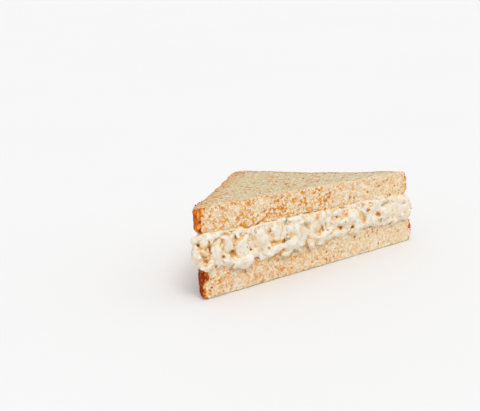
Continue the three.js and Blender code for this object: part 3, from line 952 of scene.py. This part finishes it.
def dressing(points):
    """How thickly dressing covers the salad: least at the left end, and uneven elsewhere."""
    along = smoothstep(*LOOSE_END, points[:, 0])
    return along * smoothstep(-0.8, 0.2, uneven(points, 0, DRESSING_PATCHES))


def lowest_salad(x):
    """How low the salad may hang at a place along the cut."""
    return np.interp(x, LEFT_END_X, LEFT_END_LOWEST, right=0.0)


def salad_core(filling, place):
    """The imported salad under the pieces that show: the filling's own form, lumpy at its sides, with
    dressing in every hollow."""
    random = np.random.default_rng(CORE_SEED)
    chunks = salad_forms(filling, place, random)
    shape = ball(3)
    outward = normals_of(filling)
    level = abs(outward[:, 2:])
    core = points_of(filling)
    inset = CORE_INSET * (1 - DRESSED_INSET * smoothstep(*LOOSE_END, core[:, :1]))
    core = core + outward * (CORE_REACH * level - inset * (1 - level))
    lumps = [chunk_shape(shape, chunk, random) for chunk in chunks]
    points, triangles = joined([(core, triangles_of(filling))] + lumps)
    points[:, 2] = np.maximum(points[:, 2], lowest_salad(points[:, 0]))
    piece = remeshed("salad_core", mesh_of("salad_core", points, triangles), SALAD_VOXEL)
    thin_out(piece, smoothstep(*SALAD_THINNED, place.inside(points_of(piece.data))))

    mesh = piece.data
    loose = relaxed(points_of(mesh), edges_of(mesh), LOOSE_ROUNDS)
    smooth = relaxed(loose, edges_of(mesh), DRESSED_ROUNDS)
    move_points(mesh, loose + dressing(loose)[:, None] * (smooth - loose))
    points, normals = points_of(mesh), normals_of(mesh)
    pits = pitted(wandering(points, *SALAD_BEND), 0, SALAD_PITS)
    relief = uneven(points, 0, *SALAD_RELIEF) - SALAD_PITS.depth * pits
    move_points(mesh, points + normals * relief[:, None])
    pressed, gap = open_gaps(mesh, place.cut_y)
    right_end = CAD_BOX[1][0] / MM
    by_the_end = smoothstep(right_end - RIGHT_END_LENGTH, right_end, pressed[:, 0])
    pressed[:, 0] -= RIGHT_END_TRIM * by_the_end
    move_points(mesh, pressed)
    # gap: how deep a point lies in a pressed-in gap, painted with dark shade by the salad's material
    add_number(mesh, "gap", gap)
    add_number(mesh, "meat", np.zeros(len(points)))
    # groove: how far a point lies in a crease, painted with shade by the salad's material
    add_number(mesh, "groove", smoothstep(0.0, 0.2, cavity_of(mesh, CAVITY_ROUNDS)))
    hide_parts("chicken_salad")
    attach(piece, "root")
    return piece


def tube(around, along):
    """Points and triangles of a closed bean from -1 to 1 along x, radius 1, in around by along faces."""
    turns = np.arange(around) * 2 * math.pi / around
    points = [(-1, 0, 0)]
    for step in range(1, along):
        angle = math.pi * step / along
        x, radius = -math.cos(angle), math.sin(angle) ** 0.6
        points += [(x, radius * math.cos(turn), radius * math.sin(turn)) for turn in turns]
    points.append((1, 0, 0))
    last = len(points) - 1
    triangles = []
    for i in range(around):
        beside = (i + 1) % around
        triangles += [(0, 1 + beside, 1 + i), (last, last - around + i, last - around + beside)]
        for ring in range(along - 2):
            a, b = 1 + ring * around + i, 1 + ring * around + beside
            triangles += [(a, b, b + around), (a, b + around, a + around)]
    return np.array(points, float), np.array(triangles)


def torn_shape(shape, chunk, random):
    """The bean made into torn chicken: its fibres lie along it, part at its ends and leave grooves
    between them. Returns points, triangles and how deep each point lies in a groove, for painted shade
    there."""
    points, triangles = shape
    start = random.uniform(0, 100, 3)
    ridges = np.array(chunk.size[1:]).mean() / 2 / FIBRE_WIDTH
    around = points[:, 1:] / np.hypot(points[:, 1], points[:, 2]).clip(0.2)[:, None]
    turned = np.concatenate([0.9 * points[:, :1], ridges * around], axis=1) + start
    fibres = waves(turned, 1.0, FIBRE_SEED)
    bundles = waves(points * (1.1, 1.5, 1.5) + start, 1.0, BUNDLE_SEED)
    form = points.copy()
    form[:, 1:] *= (1 + FIBRE_RELIEF * fibres + BUNDLE_RELIEF * bundles)[:, None]
    form[:, 0] *= 1 + END_RELIEF * waves(turned * (0, 1, 1) + start, 1.0, END_SEED)
    form[:, 1:] += random.normal(0, PIECE_BEND, 2) * (points[:, :1] ** 2 - BEND_MIDDLE)
    along = points * (2.2, 0, 0) + start
    form[:, 1:] += KINK_REACH * np.stack([waves(along + apart, 1.0, KINK_SEED) for apart in (0, 9)], -1)
    placed = form * chunk.size / 2 @ chunk.directions + chunk.middle
    return placed, triangles, np.clip(0.5 - fibres, 0, 1)


def outer_point(tree, point, outward):
    """Where the surface lies outwards or inwards of a point, and its direction there."""
    away = Vector(outward).normalized()
    place, normal, _, _ = tree.ray_cast(Vector(point) + SEARCH_REACH * away, -away, 2 * SEARCH_REACH)
    return (None, None) if place is None else (np.array(place), np.array(normal))


def lying_on(tree, where, outward, turn, size, sunk):
    """A chunk whose long way follows the surface, or None where it would reach past it."""
    level = chunk_on(where, outward, turn, size, 0.0)
    half = 0.4 * size[0] * level.directions[0]
    ends = [outer_point(tree, where + way * half, outward)[0] for way in (-1, 1)]
    if any(end is None for end in ends):
        return None
    long_way = unit(ends[1] - ends[0])
    away = unit(level.directions[2] - (level.directions[2] @ long_way) * long_way)
    directions = np.stack([long_way, np.cross(away, long_way), away])
    return Chunk(0.5 * where + 0.25 * (ends[0] + ends[1]) - sunk * away, directions, np.array(size))


def chicken_pieces(core, place):
    """Torn pieces, shreds and flakes of chicken that lie in the dressing, on every side that shows."""
    random = np.random.default_rng(PIECE_SEED)
    tree = surface_tree(core)
    open_spots = [seen_at(tree, gap.pixel, place.cut_y) for gap in GAPS.values()]
    kinds, shares = list(KINDS.values()), [kind.share for kind in KINDS.values()]
    beans = [tube(*kind.faces) for kind in kinds]
    forms = []
    for where, normal in zip(*scattered(core, near_the_sides(place), PIECE_SPACING, PIECE_TRIES, random)):
        number = random.choice(len(kinds), p=shares)
        kind = kinds[number]
        size = chunk_size(random, kind.length, kind.width, kind.thickness)
        outward = unit(place.outward(where)) + PIECE_LEAN * normal
        raised = SIDE_RAISED * smoothstep(SHOWN_DEPTH, 2 * SHOWN_DEPTH, where[1] - place.cut_y)
        sunk = (random.uniform(*kind.sunk) - raised) * size[2]
        chunk = lying_on(tree, where, outward, random.normal(0, PIECE_TURN), size, sunk)
        hangs = where[2] < lowest_salad(where[0]) + size[0] / 2
        if chunk and not hangs and not any(covers(chunk, spot, 1.1) for spot in open_spots):
            forms.append((*torn_shape(beans[number], chunk, random), random.uniform()))
    points, triangles = joined([(form[0], form[1]) for form in forms])
    mesh = mesh_of("chicken_pieces", points, triangles)
    piece = new_piece("chicken_pieces", mesh)
    smooth_faces(mesh)
    add_number(mesh, "gap", np.zeros(len(points)))
    add_number(mesh, "meat", np.concatenate([np.full(len(form[0]), form[3]) for form in forms]))
    # groove: how deep a point lies between fibres, painted with shade by the salad's material
    add_number(mesh, "groove", np.concatenate([form[2] for form in forms]))
    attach(piece, "root")
    return piece


def add_shade(mesh, tree, place, seed):
    """Adds how much of the space around each shown point is closed off nearby, from 0 to 1."""
    points, normals = points_of(mesh), normals_of(mesh)
    shown = np.nonzero(place.inside(points) < SHADE_INSIDE)[0]
    random = np.random.default_rng(seed)
    starts = [Vector(start) for start in points[shown] + SHADE_START * normals[shown]]
    closed = np.zeros(len(points))
    for _ in range(SHADE_RAYS):
        ways = random.normal(size=(len(shown), 3))
        ways = ways / np.linalg.norm(ways, axis=1)[:, None] + normals[shown]
        hits = [tree.ray_cast(start, way, SHADE_REACH)[3] for start, way in zip(starts, ways.tolist())]
        closed[shown] += [0 if hit is None else 1 for hit in hits]
    shade = relaxed(np.repeat(closed[:, None] / SHADE_RAYS, 3, axis=1), edges_of(mesh), 2)[:, 0]
    add_number(mesh, "shade", shade)


def bits_piece(name, chunks, random):
    """Small bits as one piece."""
    shape = ball(3)
    points, triangles = joined([chunk_shape(shape, chunk, random) for chunk in chunks])
    piece = new_piece(name, mesh_of(name, points, triangles))
    smooth_faces(piece.data)
    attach(piece, "root")
    return piece


def salad_bits(name, bits, core, tree, place):
    """Bits that lie in the salad's surface: those that the photograph shows at the cut, and others
    on the sides that it doesn't show."""
    random = np.random.default_rng(bits.seed)
    chunks = shown_chunks(bits.shown, tree, place)
    for where, _ in zip(*scattered(core, near_the_sides(place), bits.spacing, BIT_TRIES, random)):
        size = chunk_size(random, bits.length, bits.width, bits.width)
        point, outward = outer_point(tree, where, place.outward(where))
        turn, sunk = random.uniform(0, math.pi), random.uniform(0.0, 0.3) * size[2]
        behind = where[1] - place.cut_y - SHOWN_DEPTH
        if point is not None and place.crust_depth(where[None])[0] < behind:
            chunks.append(chunk_on(point, outward, turn, size, sunk))
    return bits_piece(name, chunks, random)


# Materials

class Look:
    """A material that is put together from nodes."""

    def __init__(self, name):
        self.material = bpy.data.materials.new(name)
        self.material.use_nodes = True
        self.nodes, self.links = self.material.node_tree.nodes, self.material.node_tree.links

    def give(self, socket, value):
        """Links another node's output to the socket, or sets the socket to a plain value."""
        if isinstance(value, bpy.types.NodeSocket):
            self.links.new(value, socket)
        else:
            socket.default_value = value

    def fill(self, node, inputs):
        for name, value in inputs.items():
            self.give(node.inputs[name], value)
        return node

    def node(self, kind, **inputs):
        """A new node, with inputs of one word given their values."""
        return self.fill(self.nodes.new("ShaderNode" + kind), inputs)

    def attribute(self, name):
        """A number kept with the mesh."""
        node = self.node("Attribute")
        node.attribute_name = name
        return node.outputs["Fac"]

    def place(self):
        return self.node("TexCoord").outputs["Object"]

    def noise(self, size, detail=3.0, roughness=0.55, output="Fac"):
        """Noise whose bumps are about size millimetres across."""
        scale = 1 / (size * MM)
        noise = self.node("TexNoise", Vector=self.place(), Scale=scale, Detail=detail, Roughness=roughness)
        return noise.outputs[output]

    def calculated(self, operation, *values, kind="Math"):
        node = self.node(kind)
        node.operation = operation
        for socket, value in zip(node.inputs, values):
            self.give(socket, value)
        return node.outputs[0]

    def ranged(self, value, low, high, to_low=0.0, to_high=1.0):
        """The value where it rises smoothly from low to high, as to_low to to_high."""
        node = self.node("MapRange", Value=value)
        node.interpolation_type = "SMOOTHSTEP"
        ends = {"From Min": low, "From Max": high, "To Min": to_low, "To Max": to_high}
        return self.fill(node, ends).outputs["Result"]

    def pattern(self, kind):
        noise = self.noise(kind.size, kind.detail, kind.roughness)
        return self.ranged(noise, kind.low, kind.high, kind.least, kind.most)

    def mixed(self, share, first, second):
        """The first colour where the share is 0, and the second where it is 1."""
        node = self.node("Mix")
        node.data_type = "RGBA"
        self.give(node.inputs["Factor"], share)
        for name, colour in (("A", first), ("B", second)):
            socket = next(end for end in node.inputs if end.name == name and end.type == "RGBA")
            self.give(socket, colour)
        return next(end for end in node.outputs if end.type == "RGBA")

    def tinted(self, base, tint):
        number = self.attribute(tint.number)
        return self.mixed(self.ranged(number, tint.low, tint.high, 0.0, tint.strength), base, tint.colour)

    def flecked(self, base, flecks):
        """The base colour with scattered flecks on it."""
        bend = self.noise(FLECK_BEND * flecks.spacing, 1.0, 0.5, "Color")
        reach = (2 * flecks.reach * MM,) * 3
        bent = self.calculated("MULTIPLY_ADD", bend, reach, self.place(), kind="VectorMath")
        cells = self.node("TexVoronoi", Vector=bent, Scale=1 / (flecks.spacing * MM))
        split = self.node("SeparateColor", Color=cells.outputs["Color"])
        near = self.ranged(cells.outputs["Distance"], flecks.radius, FLECK_CORE * flecks.radius)
        least = 1 - flecks.share
        chosen = self.ranged(split.outputs["Red"], least - FLECK_STEP, least + FLECK_STEP)
        return self.mixed(self.calculated("MULTIPLY", near, chosen), base, flecks.colour)

    def bump(self, size, strength, distance):
        """Directions of a surface that noise roughens, distance millimetres high."""
        height = self.noise(size)
        return self.node("Bump", Height=height, Strength=strength, Distance=distance * MM).outputs["Normal"]

    def finished(self, colour, roughness, inputs):
        shader = self.nodes["Principled BSDF"]
        self.fill(shader, {"Base Color": colour, "Roughness": roughness, **inputs})
        return self.material


def face_colour(look):
    """The colour of a slice's soft face: toasted towards the crust, with specks and flecks."""
    face = look.tinted(look.mixed(look.pattern(FACE_GRAIN), PALE_FACE, DULL_FACE), TOASTED_TINT)
    more = look.ranged(look.attribute("toasted"), *TOASTED_SPECKS)
    specks = look.calculated("ADD", look.noise(*SPECK_NOISE), more)
    face = look.mixed(look.ranged(specks, *SPECK_RANGE), face, FACE_SPECKS)
    for flecks in FACE_FLECKS:
        face = look.flecked(face, flecks)
    return face


def crumb_colour(look):
    """The colour of the open crumb, on the faces and where it was sawn, with bran in it, and painted shade
    in its hollows and pores.
    """
    sawn = look.attribute("sawn")
    cut = look.mixed(look.pattern(CUT_PATCHES), PALE_CUT, TAN_CUT)
    hollow_shade = look.mixed(sawn, FACE_HOLLOW_SHADE, CUT_HOLLOW_SHADE)
    sunk = look.ranged(look.attribute("cavity"), *HOLLOW_SHADE_RANGE)
    crumb = look.mixed(sunk, look.mixed(sawn, face_colour(look), cut), hollow_shade)
    bran = look.calculated("MULTIPLY", look.pattern(BRAN_CLUSTERS), look.attribute("bran"))
    for pattern, colour in ((SOFT_BRAN, ORANGE), (STRONG_BRAN, DEEP_ORANGE)):
        crumb = look.mixed(look.calculated("MULTIPLY", look.pattern(pattern), bran), crumb, colour)
    return look.tinted(look.flecked(crumb, BRAN_FLECKS), PORE_SHADE_TINT)


def crust_colour(look):
    """The crust's colour, from golden to dark brown by how dark it is."""
    dark = look.calculated("ADD", look.attribute("crust_darkness"), look.pattern(CRUST_MOTTLE))
    brown = look.mixed(look.ranged(dark, *BROWN_RANGE), GOLDEN, BROWN)
    return look.mixed(look.ranged(dark, *DARK_RANGE), brown, DARK_BROWN)


def bread_material():
    look = Look("wheat bread")
    full = look.ranged(look.attribute("crust"), *CRUST_RANGE)
    colour = look.mixed(full, look.tinted(crumb_colour(look), CRUST_TINT), crust_colour(look))
    return look.finished(colour, 0.85, {
        "Specular IOR Level": 0.15,
        "Subsurface Weight": 0.08,
        "Subsurface Radius": (1.0, 0.6, 0.3),
        "Subsurface Scale": 1.0 * MM,
        "Normal": look.bump(0.6, 0.7, 0.2),
    })


def salad_material():
    look = Look("dressed chicken")
    cream = look.mixed(look.pattern(CREAM_SMUDGES), CREAM, WARM_CREAM)
    chicken = look.mixed(look.noise(1.6), PALE_CHICKEN, TAN_CHICKEN)
    colour = look.mixed(look.ranged(look.attribute("meat"), *MEAT_RANGE), cream, chicken)
    colour = look.mixed(look.pattern(GREEN_PATCHES), colour, GREEN_TINGE)
    # Painted shade in the salad's grooves, closed-in places and gaps
    for tint in PAINTED_SALAD_SHADE:
        colour = look.tinted(colour, tint)
    return look.finished(colour, 0.42, {
        "Subsurface Weight": 0.12,
        "Subsurface Radius": (1.0, 0.75, 0.5),
        "Subsurface Scale": 0.8 * MM,
        "Normal": look.bump(0.9, 0.4, 0.22),
    })


def celery_material():
    look = Look("celery")
    green = look.mixed(look.noise(1.4), CELERY_GREEN, CELERY_BROWN)
    colour = look.mixed(look.pattern(CELERY_PATCHES), green, CELERY_PALE)
    return look.finished(colour, 0.35, {"Subsurface Weight": 0.3, "Subsurface Scale": 0.8 * MM})


def herb_material():
    look = Look("herb")
    return look.finished(look.mixed(look.noise(0.8), HERB_DARK, HERB_PALE), 0.5, {})


# Stage, light and camera

def direction(azimuth, elevation):
    """The way from the half to where something stands, from its angles in degrees."""
    a, e = math.radians(azimuth), math.radians(elevation)
    return Vector((math.sin(a) * math.cos(e), -math.cos(a) * math.cos(e), math.sin(e)))


def floor():
    mesh = bpy.data.meshes.new("floor")
    corners = [(x * FLOOR_REACH, y * FLOOR_REACH, 0) for x, y in ((-1, -1), (1, -1), (1, 1), (-1, 1))]
    mesh.from_pydata(corners, [], [(0, 1, 2, 3)])
    piece = new_piece("floor", mesh)
    piece.location.z = -FLOOR_BELOW * MM
    look = Look("pale floor")
    tone = look.mixed(look.noise(FLOOR_PATCHES), FLOOR_PALE, FLOOR_DULL)
    mesh.materials.append(look.finished(tone, 0.7, {}))


def sun():
    """Even light from one side of the sky."""
    light = bpy.data.lights.new("key", "SUN")
    light.energy = SUN_STRENGTH
    light.angle = math.radians(SUN_WIDTH)
    piece = new_piece("key", light)
    piece.rotation_euler = direction(SUN_AZIMUTH, SUN_ELEVATION).to_track_quat("Z", "Y").to_euler()


def studio():
    world = bpy.data.worlds.new("studio")
    world.use_nodes = True
    sky = world.node_tree.nodes["Background"]
    sky.inputs["Color"].default_value = (1, 1, 1, 1)
    sky.inputs["Strength"].default_value = SKY_STRENGTH
    bpy.context.scene.world = world
    sun()
    bpy.context.scene.view_settings.view_transform = "Standard"


def camera():
    place = SlicePlace("bread_bottom")
    back = direction(VIEW_AZIMUTH, VIEW_ELEVATION)
    data = bpy.data.cameras.new("camera")
    data.sensor_width = SENSOR_WIDTH
    data.lens = FOCAL_PX * data.sensor_width / PHOTO_WIDTH
    piece = new_piece("camera", data)
    turn = back.to_track_quat("Z", "Y").to_matrix() @ Matrix.Rotation(math.radians(VIEW_ROLL), 3, "Z")
    eye = Vector((place.middle_x, place.cut_y, 0)) + Vector(VIEW_TARGET) + back * VIEW_DISTANCE
    piece.matrix_world = Matrix.Translation(eye * MM) @ turn.to_4x4()
    bpy.context.scene.camera = piece
    bpy.context.view_layer.update()


def bread_half(name, node, hidden_side, darker, seed, material):
    """A half slice and the crumbs on its crust. Returns the slice's mesh."""
    piece = bread_slice(name, node, hidden_side, darker, seed)
    piece.data.materials.append(material)
    crust_crumbs(node, piece.data, seed + 50).data.materials.append(material)
    return piece.data


camera()
studio()
floor()
bread = bread_material()
lower_half = bread_half("bottom_slice", "bread_bottom", 1, LOWER_DARKER, LOWER_SEED, bread)
upper_half = bread_half("top_slice", "bread_top", -1, 0.0, UPPER_SEED, bread)

packed, lower_place = packed_solid("chicken_salad"), SlicePlace("bread_bottom")
core = salad_core(packed, lower_place)
pieces = chicken_pieces(core.data, lower_place)
dressed = salad_material()
around = surface_tree(core.data, pieces.data, lower_half, upper_half)
for salad in (core, pieces):
    salad.data.materials.append(dressed)
    add_shade(salad.data, around, lower_place, SHADE_SEED)
outside = surface_tree(core.data, pieces.data)
celery = salad_bits("celery_bits", CELERY, core.data, outside, lower_place)
celery.data.materials.append(celery_material())
herb = salad_bits("herb_flecks", HERB, core.data, outside, lower_place)
herb.data.materials.append(herb_material())
